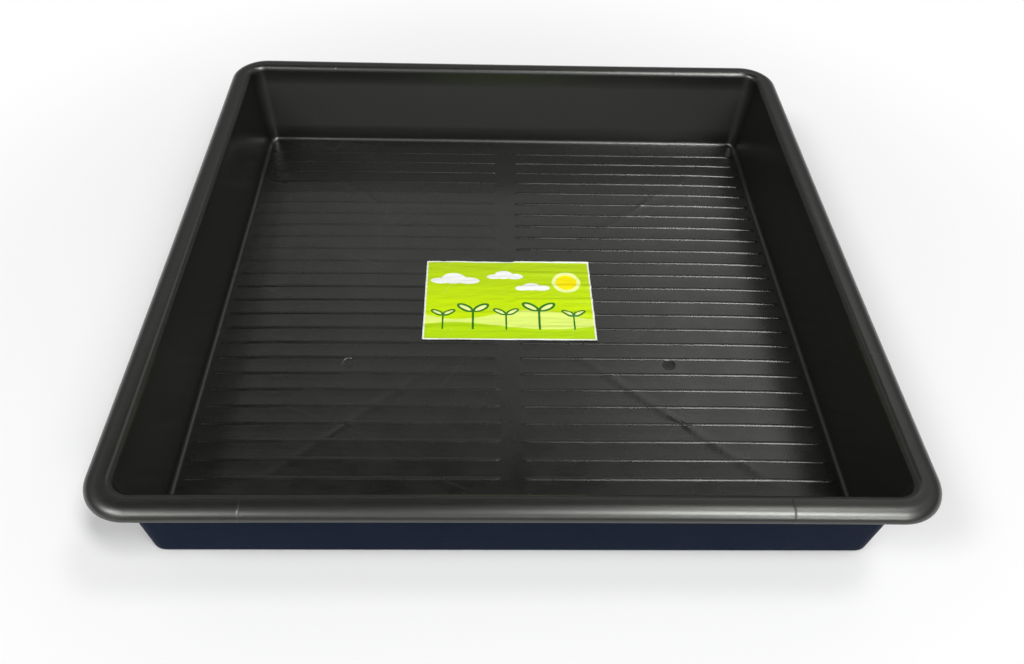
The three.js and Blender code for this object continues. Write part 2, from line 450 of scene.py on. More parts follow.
@dataclass(frozen=True)
class FloorRelief:
    """The raised and sunken shapes of the floor: crown, folds, ribs and round moulding marks.

    The floor's half width is measured to the foot of the wall, and so are the margins and insets. Shares
    are parts of another size. Scales and waves are counted in a metre.
    """

    floor_half: float
    rest_band: float = 28.0
    rib_end_margin: float = 9.0
    rib_pitch: float = 25.15
    rib_width: float = 4.2
    rib_top_share: float = 0.15
    rib_height: float = 0.82
    near_share: float = 0.75
    far_share: float = 1.8
    rise_reach: float = 330.0
    worn_share: float = 0.25
    worn_start: float = -120.0
    worn_full: float = 80.0
    worn_last: float = 230.0
    worn_end: float = 250.0
    uneven_share: float = 0.72
    uneven_waves: float = 16.0
    uneven_step: float = 3.7
    rib_rows: int = 13
    rib_taper: float = 5.0
    bank_gap: float = 24.0
    crown: float = 2.5
    crown_power: float = 7.0
    crown_shift: float = 7.0
    crown_softness: float = 0.1
    fold_start: float = 25.0
    fold_softness: float = 6.0
    fold_width: float = 9.0
    fold_height: float = 0.75
    faint_share: float = 0.5
    fold_begin: float = 50.0
    fold_full: float = 150.0
    fold_fade_share: float = 0.74
    fold_end_share: float = 0.88
    keen_span: float = 250.0
    mark_inset: float = 168.5
    mark_pitches: float = 4.35
    mark_radius: float = 8.0
    mark_face_share: float = 0.75
    mark_depth: float = 0.9
    mark_tilt: float = 0.8
    sag: float = 0.1
    waviness: float = 0.25
    wave_scale: float = 13.0
    LENGTHS: ClassVar[tuple[str, ...]] = (
        "rib_pitch", "rib_width", "rib_height", "rib_reach", "rib_taper", "row_reach", "bank_gap",
        "rise_reach", "worn_start", "worn_full", "worn_last", "worn_end",
        "crown", "crown_reach", "crown_shift", "sag", "waviness",
        "fold_start", "fold_softness", "fold_width", "fold_height", "faint_fold",
        "fold_begin", "fold_full", "fold_fade", "fold_end", "keen_span",
        "mark_offset", "mark_row", "mark_radius", "mark_depth", "mark_tilt",
    )
    SHARES: ClassVar[tuple[str, ...]] = (
        "rib_top_share", "near_share", "far_share", "worn_share", "mark_face_share", "crown_power",
    )

    @property
    def crown_reach(self) -> float:
        """Distance from the middle to the edge of the crown."""
        return self.floor_half - self.rest_band

    @property
    def rib_reach(self) -> float:
        """Distance from the middle to the outer ends of the ribs."""
        return self.floor_half - self.rib_end_margin

    @property
    def mark_offset(self) -> float:
        """Distance from the middle to each round mark, across."""
        return self.floor_half - self.mark_inset

    @property
    def mark_row(self) -> float:
        """Place of the round marks, along."""
        return -self.mark_pitches * self.rib_pitch

    @property
    def row_reach(self) -> float:
        """Distance from the middle to half a pitch past the last row."""
        return (self.rib_rows + 0.5) * self.rib_pitch

    @property
    def faint_fold(self) -> float:
        """Height of the three faint folds."""
        return self.faint_share * self.fold_height

    @property
    def fold_fade(self) -> float:
        """Distance from the middle at which the folds start to fade."""
        return self.fold_fade_share * self.crown_reach

    @property
    def fold_end(self) -> float:
        """Distance from the middle at which the folds have gone."""
        return self.fold_end_share * self.crown_reach

    def values(self) -> dict[str, float]:
        """Give the tree's named inputs: lengths in metres, then shares and the crown's power."""
        units = {**dict.fromkeys(self.LENGTHS, MM), **dict.fromkeys(self.SHARES, 1.0)}
        return {name.replace("_", " ").title(): getattr(self, name) * unit for name, unit in units.items()}

    def group(self) -> NodeTree:
        """Build the node group that gives the floor's height at a point.

        Returns:
            The group. Its outputs are the crown's height and the relief on top of it.
        """
        outputs = {"Crown": "NodeSocketFloat", "Relief": "NodeSocketFloat"}
        inputs = {name: "NodeSocketFloat" for name in self.values()}
        sketch, size, result = new_tree("Floor Relief", TreeKind.GEOMETRY, inputs, outputs)
        place = sketch.add("GeometryNodeInputPosition").outputs[0]
        x, y, _ = sketch.split(place)
        side = sketch.magnitude(sketch.minus(x, size["Crown Shift"]))
        past = sketch.math("MAXIMUM", sketch.minus(sketch.magnitude(y), size["Fold Start"]), 0.0)
        room = sketch.minus(size["Crown Reach"], size["Fold Start"])
        hipped = sketch.times(past, sketch.ratio(size["Crown Reach"], room))
        reach = sketch.math("SMOOTH_MAX", side, hipped, size["Fold Softness"])
        fall = sketch.math("POWER", sketch.ratio(reach, size["Crown Reach"]), size["Crown Power"])
        rise = sketch.math("SMOOTH_MAX", sketch.minus(1.0, fall), 0.0, self.crown_softness)
        sketch.feed(result.inputs["Crown"], sketch.times(rise, size["Crown"]))
        bare = sketch.ramp(reach, size["Rib Reach"], size["Crown Reach"])
        wave = sketch.minus(sketch.noise(place, self.wave_scale), 0.5)
        ribs = self._ribs(sketch, size, place)
        marks = self._marks(sketch, size, place)
        keen = sketch.ramp(sketch.minus(x, y), 0.0, size["Keen Span"])
        folds = self._folds(sketch, size, reach, sketch.minus(side, hipped), keen)
        relief = sketch.plus(sketch.times(wave, bare, size["Waviness"]), ribs, marks, folds)
        sketch.feed(result.inputs["Relief"], relief)
        return sketch.tree

    def _ribs(self, sketch: Sketch, size: dict[str, Socket], place: Socket) -> Socket:
        """Give the height of the two banks of ribs and the slight sag between them.

        The ribs get higher from the front to the back. Those behind the middle of the left bank are
        worn low.

        Args:
            sketch: The sketch on the group's tree.
            size: The group's inputs.
            place: The point on the floor.

        Returns:
            The height.
        """
        x, y, _ = sketch.split(place)
        side = sketch.magnitude(x)
        half_pitch = sketch.times(size["Rib Pitch"], 0.5)
        half_width = sketch.times(size["Rib Width"], 0.5)
        away = sketch.math("PINGPONG", y, half_pitch)
        across = sketch.ramp(away, half_width, sketch.times(half_width, size["Rib Top Share"]))
        first = sketch.times(size["Bank Gap"], 0.5)
        begin = sketch.ramp(side, first, sketch.plus(first, size["Rib Taper"]))
        last = size["Rib Reach"]
        end = sketch.ramp(side, last, sketch.minus(last, size["Rib Taper"]))
        inside = sketch.math("LESS_THAN", sketch.magnitude(y), size["Row Reach"])
        number = sketch.math("ROUND", sketch.ratio(y, size["Rib Pitch"]))
        spot = sketch.vector(
            sketch.times(x, self.uneven_waves), sketch.times(number, self.uneven_step), 0.5
        )
        uneven = sketch.ramp(sketch.noise(spot, 1.0), NOISE_LOW, NOISE_HIGH, self.uneven_share, 1.0)
        on_left = sketch.math("LESS_THAN", x, 0.0)
        from_front = sketch.ramp(y, size["Worn Start"], size["Worn Full"])
        from_back = sketch.ramp(y, size["Worn End"], size["Worn Last"])
        worn = sketch.times(on_left, from_front, from_back)
        front = sketch.minus(0.0, size["Rise Reach"])
        lift = sketch.ramp(y, front, size["Rise Reach"], size["Near Share"], size["Far Share"])
        share = sketch.blend(worn, lift, size["Worn Share"])
        rib = sketch.times(size["Rib Height"], across, uneven, share)
        dip = sketch.times(size["Sag"], sketch.ramp(away, half_width, half_pitch))
        return sketch.times(sketch.minus(rib, dip), begin, end, inside)

    @staticmethod
    def _marks(sketch: Sketch, size: dict[str, Socket], place: Socket) -> Socket:
        """Give the depth of the two round marks. The right one's face leans to the front."""
        x, y, _ = sketch.split(place)
        over = sketch.minus(sketch.magnitude(x), size["Mark Offset"])
        up = sketch.minus(y, size["Mark Row"])
        share = sketch.ratio(sketch.distance(over, up), size["Mark Radius"])
        on_right = sketch.math("GREATER_THAN", x, 0.0)
        lean = sketch.times(sketch.ratio(up, size["Mark Radius"]), size["Mark Tilt"], on_right)
        face = sketch.minus(lean, size["Mark Depth"])
        return sketch.times(sketch.ramp(share, 1.0, size["Mark Face Share"]), face)

    @staticmethod
    def _folds(
        sketch: Sketch, size: dict[str, Socket], reach: Socket, apart: Socket, keen: Socket
    ) -> Socket:
        """Give the height of the soft ridges along the crown's four folds.

        Args:
            sketch: The sketch on the group's tree.
            size: The group's inputs.
            reach: Distance from the middle, measured square to the nearest side.
            apart: Signed distance from the fold, along one side.
            keen: Share of the full height, which the front right fold has and the others lack.

        Returns:
            The height.
        """
        away = sketch.times(sketch.magnitude(apart), math.sqrt(0.5))
        ridge = sketch.ramp(away, sketch.times(size["Fold Width"], 0.5), 0.0)
        begin = sketch.ramp(reach, size["Fold Begin"], size["Fold Full"])
        end = sketch.ramp(reach, size["Fold End"], size["Fold Fade"])
        height = sketch.blend(keen, size["Faint Fold"], size["Fold Height"])
        return sketch.times(ridge, begin, end, height)


def grain_group() -> NodeTree:
    """Build the shading group for a moulded or printed surface's fine grain.

    Returns:
        The group. Its outputs run from 0 to 1: round grain, long streaks and broad mottling.
    """
    names = ("Grain", "Streak", "Mottle")
    inputs = {"Vector": "NodeSocketVector", **{f"{name} Scale": "NodeSocketFloat" for name in names}}
    outputs = {name: "NodeSocketFloat" for name in names}
    sketch, given, result = new_tree("Surface Grain", TreeKind.SHADER, inputs, outputs)
    vector = given["Vector"]
    stretched = sketch.scaled(vector, (STREAK_STRETCH, 1.0, 1.0))
    layers = ((vector, 3.0, 0.6), (stretched, 4.0, 0.65), (vector, 4.0, 0.6))
    for name, (place, detail, roughness) in zip(names, layers):
        sketch.feed(result.inputs[name], sketch.noise(place, given[f"{name} Scale"], detail, roughness))
    return sketch.tree


def wear_group() -> NodeTree:
    """Build the shading group for handling wear.

    Returns:
        The group. Its output is a mask of fine scratches in two directions.
    """
    inputs = {
        "Vector": "NodeSocketVector",
        "Scratch Scale": "NodeSocketFloat",
        "Scratch Share": "NodeSocketFloat",
    }
    outputs = {"Scratches": "NodeSocketFloat"}
    sketch, given, result = new_tree("Handling Wear", TreeKind.SHADER, inputs, outputs)
    edge = sketch.minus(1.0, given["Scratch Share"])
    masks = []
    for degrees, stretch in SCRATCH_RUNS:
        laid = sketch.scaled(sketch.turned(given["Vector"], degrees), (stretch, 1.0, 1.0))
        lines = sketch.noise(laid, given["Scratch Scale"], 1.0)
        masks.append(sketch.ramp(lines, edge, sketch.plus(edge, SCRATCH_SOFTNESS)))
    sketch.feed(result.inputs["Scratches"], sketch.chain("MAXIMUM", masks))
    return sketch.tree


@dataclass(frozen=True)
class Finish:
    """What both finishes have: a fine grain and scratches. Scales are waves in a metre."""

    name: str
    grain_scale: float
    streak_scale: float
    streak_height: float
    mottle_scale: float
    scratch_scale: float
    scratch_strength: float
    specular_level: float
    scratch_share: float = 0.27

    def _skin(self, sketch: Sketch, place: Socket, grain: NodeTree, wear: NodeTree) -> dict[str, Socket]:
        """Place the two shared groups at this finish's scales.

        Args:
            sketch: The sketch on the material's tree.
            place: The point on the surface.
            grain: The shared grain group.
            wear: The shared wear group.

        Returns:
            The outputs of both groups by name.
        """
        scales = {
            "Vector": place,
            "Grain Scale": self.grain_scale,
            "Streak Scale": self.streak_scale,
            "Mottle Scale": self.mottle_scale,
        }
        marks = {
            "Vector": place,
            "Scratch Scale": self.scratch_scale,
            "Scratch Share": self.scratch_share,
        }
        return {**sketch.group(grain, scales), **sketch.group(wear, marks)}

    @staticmethod
    def _bump(sketch: Sketch, shader: Node, height: Socket) -> None:
        """Let a height in millimetres tilt the shader's normal."""
        inputs = {"Strength": 1.0, "Distance": 1.0, "Height": sketch.times(height, MM)}
        bump = sketch.named("ShaderNodeBump", inputs)
        sketch.feed(shader.inputs["Normal"], bump.outputs[0])


@dataclass(frozen=True)
class BlackPlastic(Finish):
    """Satin black moulded plastic with a drawn grain and light handling wear.

    A square patch on the floor, measured from the tray's middle, is painted paler in the middle, with
    painted shade towards the walls.
    """

    name: str = "tray_plastic"
    grain_scale: float = 700.0
    grain_height: float = 0.02
    streak_scale: float = 620.0
    streak_height: float = 0.08
    mottle_scale: float = 22.0
    mottle_high: float = 0.75
    scratch_scale: float = 190.0
    scratch_strength: float = 0.1
    scratch_colour: Colour = (0.09, 0.09, 0.088)
    colour: Colour = (0.0012, 0.0013, 0.0012)
    pale_colour: Colour = (0.0075, 0.0077, 0.0072)
    # Painted light: the inside walls are painted paler than the floor, the front and back walls fully and
    # the side walls little.
    painted_light_wall_colour: Colour = (0.0125, 0.0128, 0.0122)
    # Painted light: the floor is painted paler in a square patch round this centre and stays dark towards
    # the walls as painted shade.
    painted_light_colour: Colour = (0.0120, 0.0124, 0.0116)
    painted_light_centre: tuple[float, float] = (60.0, 45.0)
    painted_shade_edge: float = 340.0
    # Distance from the middle at which the painted light of the paler middle is full.
    worn_full: float = 230.0
    roughness: float = 0.28
    wall_roughness: float = 0.58
    bend_roughness: float = 0.33
    roughness_swing: float = 0.03
    refraction: float = 1.55
    specular_level: float = 0.95
    specular_tint: Colour = (0.98, 1.0, 0.94)

    def material(self, grain: NodeTree, wear: NodeTree) -> Material:
        """Build the material.

        Args:
            grain: The shared grain group.
            wear: The shared wear group.

        Returns:
            The material.
        """
        material, sketch, shader = new_material(self.name)
        place = sketch.add("ShaderNodeTexCoord").outputs["Object"]
        skin = self._skin(sketch, place, grain, wear)
        stored = (sketch.add("ShaderNodeAttribute", attribute_name=name) for name in ("wall", "bend"))
        wall, bend = (node.outputs["Fac"] for node in stored)
        on_floor = sketch.minus(1.0, sketch.plus(wall, bend))
        # Painted light: the floor's middle is painted paler, leaving painted shade towards the walls.
        worn = sketch.times(self._painted_light_patch(sketch, place), on_floor)
        weave = sketch.blend(wall, skin["Streak"], skin["Grain"])
        base = sketch.mix(sketch.ramp(weave, NOISE_LOW, NOISE_HIGH), self.colour, self.pale_colour)
        base = sketch.mix(worn, base, self.painted_light_colour)
        # Painted light on the inside walls, paler at the front and back than at the sides.
        base = sketch.mix(wall, base, self.painted_light_wall_colour)
        scratched = sketch.times(skin["Scratches"], self.scratch_strength)
        base = sketch.mix(scratched, base, self.scratch_colour)
        sketch.feed(shader.inputs["Base Color"], base)
        gloss = sketch.blend(wall, self.roughness, self.wall_roughness)
        gloss = sketch.blend(bend, gloss, self.bend_roughness)
        swing = self.roughness_swing
        uneven = sketch.ramp(skin["Mottle"], NOISE_LOW, self.mottle_high, -swing, swing)
        gloss = sketch.plus(gloss, sketch.times(uneven, on_floor))
        sketch.feed(shader.inputs["Roughness"], gloss)
        fine = sketch.times(skin["Grain"], self.grain_height)
        drawn = sketch.times(skin["Streak"], self.streak_height, on_floor)
        self._bump(sketch, shader, sketch.plus(fine, drawn))
        shader.inputs["IOR"].default_value = self.refraction
        shader.inputs["Specular IOR Level"].default_value = self.specular_level
        shader.inputs["Specular Tint"].default_value = rgba(self.specular_tint)
        return material

    def _painted_light_patch(self, sketch: Sketch, place: Socket) -> Socket:
        """Give the mask of the square patch that is painted paler in the middle, leaving painted shade
        towards the walls.
        """
        away = [
            sketch.magnitude(sketch.minus(value, middle * MM))
            for value, middle in zip(sketch.split(place), self.painted_light_centre)
        ]
        return sketch.ramp(sketch.chain("MAXIMUM", away), self.painted_shade_edge * MM, self.worn_full * MM)


# The outer walls and the underside of the black tray: the navy base colours and the blue specular tint are
# a painted blue reflection, and the low specular level keeps the white floor out of their reflection.
OUTSIDE_PLASTIC_PAINTED_REFLECTION = BlackPlastic(
    name="tray_plastic_outside_painted_reflection",
    colour=(0.0042, 0.0093, 0.0245),
    pale_colour=(0.0060, 0.0114, 0.0272),
    painted_light_wall_colour=(0.0051, 0.0103, 0.0258),
    painted_light_colour=(0.0051, 0.0103, 0.0258),
    roughness=0.5,
    specular_level=0.02,
    specular_tint=(0.62, 0.76, 1.0),
)


@dataclass
class TrayShell:
    """The one-piece moulding: rim, turned-down lip, walls and ribbed floor.

    Its mesh has closer lines at the details. Split and rib lines are placed in widths of a split line and
    of a rib, and taper and mark lines go past the taper's length and the mark's radius by a share.
    """

    width: float
    length: float
    height: float
    sheet: float = 2.0
    wall_draft: float = math.radians(5.5)
    opening_corner: float = 20.0
    floor_corner: float = 8.0
    floor_fillet: float = 6.0
    rim_under_radius: float = 6.0
    rim_flat: float = 4.0
    lip_reach: float = 13.5
    lip_drop: float = 8.0
    side_bow: float = 1.2
    split_place: float = 251.5
    split_width: float = 1.8
    split_rise: float = 0.22
    floor_inset: float = 1.4
    # Share of wall grain, wall roughness and painted light on the side walls; the front and back walls have
    # the full share.
    side_grain_and_painted_light: float = 0.15
    side_step: float = 34.0
    corner_steps: int = 14
    bend_steps: int = 10
    wall_steps: int = 5
    edge_steps: int = 6
    split_lines: tuple[float, ...] = (-1.5, -0.8, -0.5, -0.25, 0.0, 0.25, 0.5, 0.8, 1.5)
    rib_lines: tuple[float, ...] = (-0.58, -0.4, -0.2, 0.0, 0.2, 0.4, 0.58)
    gap_lines: int = 8
    taper_lines: int = 7
    taper_past: float = 0.25
    mark_lines: int = 21
    mark_past: float = 0.15
    floor_columns: int = 112
    least_gap_share: float = 0.09
    underside_lines: int = 33
    underside_inset: float = 4.2
    node: str = "tray_shell"
    slot: str = "tray_plastic"

    @classmethod
    def from_frame(cls) -> "TrayShell":
        """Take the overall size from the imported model.

        Returns:
            The shell.
        """
        low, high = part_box("tray_shell")
        width, length, height = (high - low) / MM
        return cls(width, length, height)

    def __post_init__(self) -> None:
        """Work out the profile's main points and the floor's relief."""
        self.rim_bend = self.rim_under_radius + self.sheet
        self.rim_width = self.rim_bend + self.rim_flat + self.lip_reach + self.sheet
        self.shoulder = (self.rim_bend - self.rim_width, self.height - self.rim_bend)
        self.lip = (-self.lip_reach - self.sheet, self.height - self.lip_drop - self.sheet)
        lean = math.tan(self.wall_draft)
        top_out = self.shoulder[0] - self.rim_bend * math.cos(self.wall_draft)
        top_height = self.shoulder[1] + self.rim_bend * math.sin(self.wall_draft)
        foot_out = top_out - (top_height - self.sheet) * lean
        fillet_out = foot_out + self.floor_fillet * (lean - 1 / math.cos(self.wall_draft))
        self.foot = (fillet_out, self.sheet + self.floor_fillet)
        self.relief = FloorRelief(self.width / 2 + foot_out)

    def _rim_corner(self, out: float) -> float:
        """Give the corner radius of a point on the rim."""
        return self.opening_corner + self.rim_width + out

    def _floor_corner(self, out: float) -> float:
        """Give the corner radius of a point at the foot of the wall."""
        return self.floor_corner + out - self.foot[0]

    def _bend(
        self,
        centre: tuple[float, float],
        radii: tuple[float, float],
        turn: tuple[float, float],
        corner: Callable[[float], float],
        zone: Zone,
        steps: int | None = None,
    ) -> list[ProfilePoint]:
        """Give the profile points on an arc.

        Args:
            centre: The arc's centre, as distance out and height.
            radii: Its radius out and up.
            turn: The angles where it starts and ends.
            corner: The rule for the corner radius.
            zone: The zone that the points belong to.
            steps: How many steps it takes, if not the usual number.

        Returns:
            The points in order.
        """
        points = []
        for angle in np.linspace(*turn, (steps or self.bend_steps) + 1):
            out = centre[0] + radii[0] * math.cos(angle)
            height = centre[1] + radii[1] * math.sin(angle)
            points.append(ProfilePoint(out, height, corner(out), zone, float(angle)))
        return points

    def _wall(self, first: ProfilePoint, last: ProfilePoint, zone: Zone) -> list[ProfilePoint]:
        """Give the profile points on the straight wall between two bends, without its ends."""
        ends = [(point.out, point.height, point.corner) for point in (first, last)]
        places = np.linspace(*ends, self.wall_steps + 1)[1:-1]
        return [ProfilePoint(*place, zone) for place in places.tolist()]

    def _lip_edge(self) -> list[ProfilePoint]:
        """Give the round edge at the bottom of the lip, from its inside to its outside."""
        radius = self.sheet / 2
        centre = (-radius, self.lip[1] + radius)
        turn = (math.pi, math.tau)
        return self._bend(centre, (radius, radius), turn, self._rim_corner, Zone.RIM, self.edge_steps)[1:-1]

    def profile(self) -> list[ProfilePoint]:
        """Give the whole profile: up the outside, over the rim and down the inside."""
        up = math.pi / 2
        wall_out = -self.wall_draft
        wall_in = math.pi - self.wall_draft
        under = (self.rim_under_radius, self.rim_under_radius)
        over = (self.rim_bend, self.rim_bend)
        inner_foot = (self.floor_fillet, self.floor_fillet)
        outer_foot = (self.floor_fillet + self.sheet, self.floor_fillet + self.sheet)
        lip_under = (self.lip_reach, self.lip_drop)
        lip_over = (self.lip_reach + self.sheet, self.lip_drop + self.sheet)
        edge = math.asin(self.sheet / 2 / lip_over[1])
        foot_out = self._bend(self.foot, outer_foot, (-up, wall_out), self._floor_corner, Zone.OUTSIDE)
        neck = self._bend(self.shoulder, under, (wall_in, up), self._rim_corner, Zone.UNDER_RIM)
        roof = self._bend(self.lip, lip_under, (up, edge), self._rim_corner, Zone.UNDER_RIM)
        lip = self._bend(self.lip, lip_over, (edge, up), self._rim_corner, Zone.RIM)
        mouth = self._bend(self.shoulder, over, (up, wall_in), self._rim_corner, Zone.RIM)
        foot_in = self._bend(self.foot, inner_foot, (wall_out, -up), self._floor_corner, Zone.FOOT)
        return [
            *foot_out,
            *self._wall(foot_out[-1], neck[0], Zone.OUTSIDE),
            *neck,
            *roof,
            *self._lip_edge(),
            *lip,
            *mouth,
            *self._wall(mouth[-1], foot_in[0], Zone.INSIDE),
            *foot_in,
        ]

    def _side_places(self, half: float) -> np.ndarray:
        """Give the places along one straight side, closer together at the mould's split lines.

        Args:
            half: Half the length of the tray along that side.

        Returns:
            The places, from one corner to the other.
        """
        end = half - self.opening_corner - self.rim_width - self.side_step / 2
        plain = np.linspace(-end, end, round(2 * end / self.side_step) + 1)
        split = self.split_width * np.array(self.split_lines)
        close = np.concatenate([split - self.split_place, split + self.split_place])
        clear = [place for place in plain if np.abs(close - place).min() > self.split_width]
        return np.sort(np.concatenate([clear, close]))

    def _ring(self, point: ProfilePoint) -> np.ndarray:
        """Carry one profile point round the tray, anticlockwise from the right-hand side.

        Args:
            point: The profile point.

        Returns:
            The points of the ring.
        """
        halves = (self.width / 2, self.length / 2)
        arc = np.linspace(0.0, math.pi / 2, self.corner_steps + 1)
        parts = []
        for quarter in range(4):
            near = halves[quarter % 2]
            along = halves[1 - quarter % 2]
            places = self._side_places(along)
            straight = along + point.out - point.corner
            bow = self.side_bow * point.height / self.height * (1 - (places / straight) ** 2)
            rise = np.zeros_like(places)
            if point.zone is Zone.RIM and quarter % 2:
                away = np.abs(np.abs(places) - self.split_place) * 2 / self.split_width
                rise = self.split_rise * np.clip(1 - away, 0, 1)
            side_out = near + point.out - bow + rise * math.cos(point.lean)
            side_height = point.height + rise * math.sin(point.lean)
            corner_out = near + point.out - point.corner + point.corner * np.cos(arc)
            corner_along = straight + point.corner * np.sin(arc)
            out = np.concatenate([side_out, corner_out])
            sideways = np.concatenate([places, corner_along])
            height = np.concatenate([side_height, np.full(arc.shape, point.height)])
            cos = (1, 0, -1, 0)[quarter]
            sin = (0, 1, 0, -1)[quarter]
            parts.append(np.stack([out * cos - sideways * sin, out * sin + sideways * cos, height], -1))
        return np.concatenate(parts)

    def _top_lines(self) -> tuple[np.ndarray, np.ndarray]:
        """Give the floor's grid lines, closer together at ribs, rib ends and marks.

        Returns:
            The lines across and the lines along.
        """
        relief = self.relief
        half_x = self.width / 2 + self.foot[0] - self.floor_inset
        half_y = self.length / 2 + self.foot[0] - self.floor_inset
        past = 1 + self.mark_past
        disc = np.linspace(-past, past, self.mark_lines) * relief.mark_radius
        ends = np.linspace(-self.taper_past, 1 + self.taper_past, self.taper_lines) * relief.rib_taper
        near_end = relief.bank_gap / 2 + ends
        far_end = relief.rib_reach - ends
        columns = np.concatenate([near_end, far_end, relief.mark_offset + disc])
        plain = np.linspace(-half_x, half_x, self.floor_columns)
        across = np.concatenate([plain, columns, -columns])
        rib = relief.rib_width * np.array(self.rib_lines)
        rest = np.linspace(0, relief.rib_pitch, self.gap_lines)[1:-1]
        rows = [np.array([-half_y, half_y]), relief.mark_row + disc]
        for row in range(-relief.rib_rows, relief.rib_rows + 1):
            rows += [row * relief.rib_pitch + lines for lines in (rib, rest, -rest)]
        along = np.concatenate(rows)
        least = self.least_gap_share * relief.rib_width
        across = thinned(across[np.abs(across) <= half_x], least)
        along = thinned(along[np.abs(along) <= half_y], least)
        return across, along

    def _grid(
        self, across: np.ndarray, along: np.ndarray, height: float
    ) -> tuple[np.ndarray, list[Face], np.ndarray]:
        """Make a flat grid with round corners.

        Args:
            across: Places of its columns.
            along: Places of its rows.
            height: Its height.

        Returns:
            Its points, its faces, and the point numbers round its edge.
        """
        x, y = np.meshgrid(across, along)
        radius = self.floor_corner
        over_x = np.abs(x) - (across[-1] - radius)
        over_y = np.abs(y) - (along[-1] - radius)
        in_corner = (over_x > 0) & (over_y > 0)
        slant = np.where(in_corner, np.hypot(over_x, over_y), 1)
        pull = np.where(in_corner, np.maximum(over_x, over_y) / slant, 1)
        x = np.where(pull < 1, np.sign(x) * (across[-1] - radius + over_x * pull), x)
        y = np.where(pull < 1, np.sign(y) * (along[-1] - radius + over_y * pull), y)
        points = np.stack([x, y, np.full(x.shape, height)], -1).reshape(-1, 3)
        number = np.arange(x.size).reshape(x.shape)
        edge = np.concatenate([number[:-1, -1], number[-1, :0:-1], number[:0:-1, 0], number[0, :-1]])
        return points, grid_faces(number), edge

    def _mesh(self) -> Item:
        """Make the closed shell with a flat floor.

        Returns:
            The object, with its zones stored on its points.
        """
        profile = self.profile()
        rings = [self._ring(point) for point in profile]
        count = len(rings[0])
        faces: list[Face] = []
        for low in range(0, (len(rings) - 1) * count, count):
            for side in range(count):
                ahead = (side + 1) % count
                faces.append((low + side, low + ahead, low + count + ahead, low + count + side))
        top, top_faces, top_edge = self._grid(*self._top_lines(), self.sheet)
        half = self.width / 2 + self.foot[0] - self.underside_inset
        lines = np.linspace(-half, half, self.underside_lines)
        under, under_faces, under_edge = self._grid(lines, lines * self.length / self.width, 0.0)
        points = np.concatenate([*rings, top, under])
        top_start = count * len(rings)
        under_start = top_start + len(top)
        last_ring = np.arange(top_start - count, top_start)
        first_ring = np.arange(count)
        faces += [tuple(top_start + i for i in face) for face in top_faces]
        faces += zip_loops(last_ring, top_edge + top_start, points)
        below = [tuple(under_start + i for i in face) for face in under_faces]
        below += zip_loops(first_ring, under_edge + under_start, points)
        faces += [face[::-1] for face in below]
        item = new_object("tray_shell_moulding", points, faces)
        self._store_zones(item, profile, len(top), len(under))
        return item

    def _store_zones(self, item: Item, profile: list[ProfilePoint], top: int, under: int) -> None:
        """Store on the points which side of the floor and which stretch of the profile they are on.

        Args:
            item: The shell.
            profile: Its profile, one point for each ring.
            top: How many points the floor's top has.
            under: How many points the floor's underside has.
        """
        # The wall share carries the wall grain and the painted light of the walls.
        grain = self._grain_and_painted_light_share()
        plain = np.ones(len(grain))
        counts = {
            FloorSide.NONE: len(profile) * len(grain),
            FloorSide.TOP: top,
            FloorSide.UNDERSIDE: under,
        }
        sides = [np.full(count, side.value) for side, count in counts.items()]
        store(item, "floor_side", np.concatenate(sides))
        for name, zones, level, on_underside in (
            ("outside", (Zone.OUTSIDE, Zone.UNDER_RIM), plain, 1.0),
            ("bend", (Zone.RIM, Zone.FOOT), plain, 0.0),
            ("wall", (Zone.INSIDE,), grain, 0.0),
        ):
            rings = np.outer([point.zone in zones for point in profile], level).ravel()
            store(item, name, np.concatenate([rings, np.zeros(top), np.full(under, on_underside)]))

    def _grain_and_painted_light_share(self) -> np.ndarray:
        """Give the share of wall grain and painted light round a ring: full at front and back, less at the
        sides, which stay darker as painted shade.
        """
        levels = (self.side_grain_and_painted_light, 1.0, self.side_grain_and_painted_light, 1.0)
        parts = []
        for quarter, level in enumerate(levels):
            places = self._side_places((self.width, self.length)[1 - quarter % 2] / 2)
            parts.append(np.full(len(places), level))
            parts.append(np.linspace(level, levels[(quarter + 1) % 4], self.corner_steps + 1))
        return np.concatenate(parts)

    def _floor_tree(self, group: NodeTree) -> NodeTree:
        """Build the tree that raises the floor by its relief and sets the material.

        Args:
            group: The floor relief group.

        Returns:
            The tree.
        """
        names = self.relief.values()
        inputs = {"Geometry": "NodeSocketGeometry", "Material": "NodeSocketMaterial"}
        inputs["Outside Material"] = "NodeSocketMaterial"
        inputs.update({name: "NodeSocketFloat" for name in names})
        outputs = {"Geometry": "NodeSocketGeometry"}
        sketch, given, result = new_tree("Ribbed Floor", TreeKind.GEOMETRY, inputs, outputs)
        shape = sketch.group(group, {name: given[name] for name in names})
        side = sketch.add("GeometryNodeInputNamedAttribute", "floor_side", data_type="FLOAT").outputs[0]
        on_floor = sketch.magnitude(side)
        on_top = sketch.math("MAXIMUM", side, 0.0)
        crown = sketch.times(shape["Crown"], on_floor)
        relief = sketch.times(shape["Relief"], on_top)
        lift = sketch.vector(0.0, 0.0, sketch.plus(crown, relief))
        moved = sketch.named("GeometryNodeSetPosition", {"Geometry": given["Geometry"], "Offset": lift})
        dressed = finish_tree(sketch, moved.outputs[0], given["Material"])
        # The outer faces get the material whose navy colour is a painted blue reflection.
        outside = sketch.add("GeometryNodeInputNamedAttribute", "outside", data_type="FLOAT").outputs[0]
        outer_faces = sketch.math("GREATER_THAN", outside, 0.5)
        last = {"Geometry": dressed, "Selection": outer_faces, "Material": given["Outside Material"]}
        sketch.feed(result.inputs["Geometry"], sketch.named("GeometryNodeSetMaterial", last).outputs[0])
        return sketch.tree

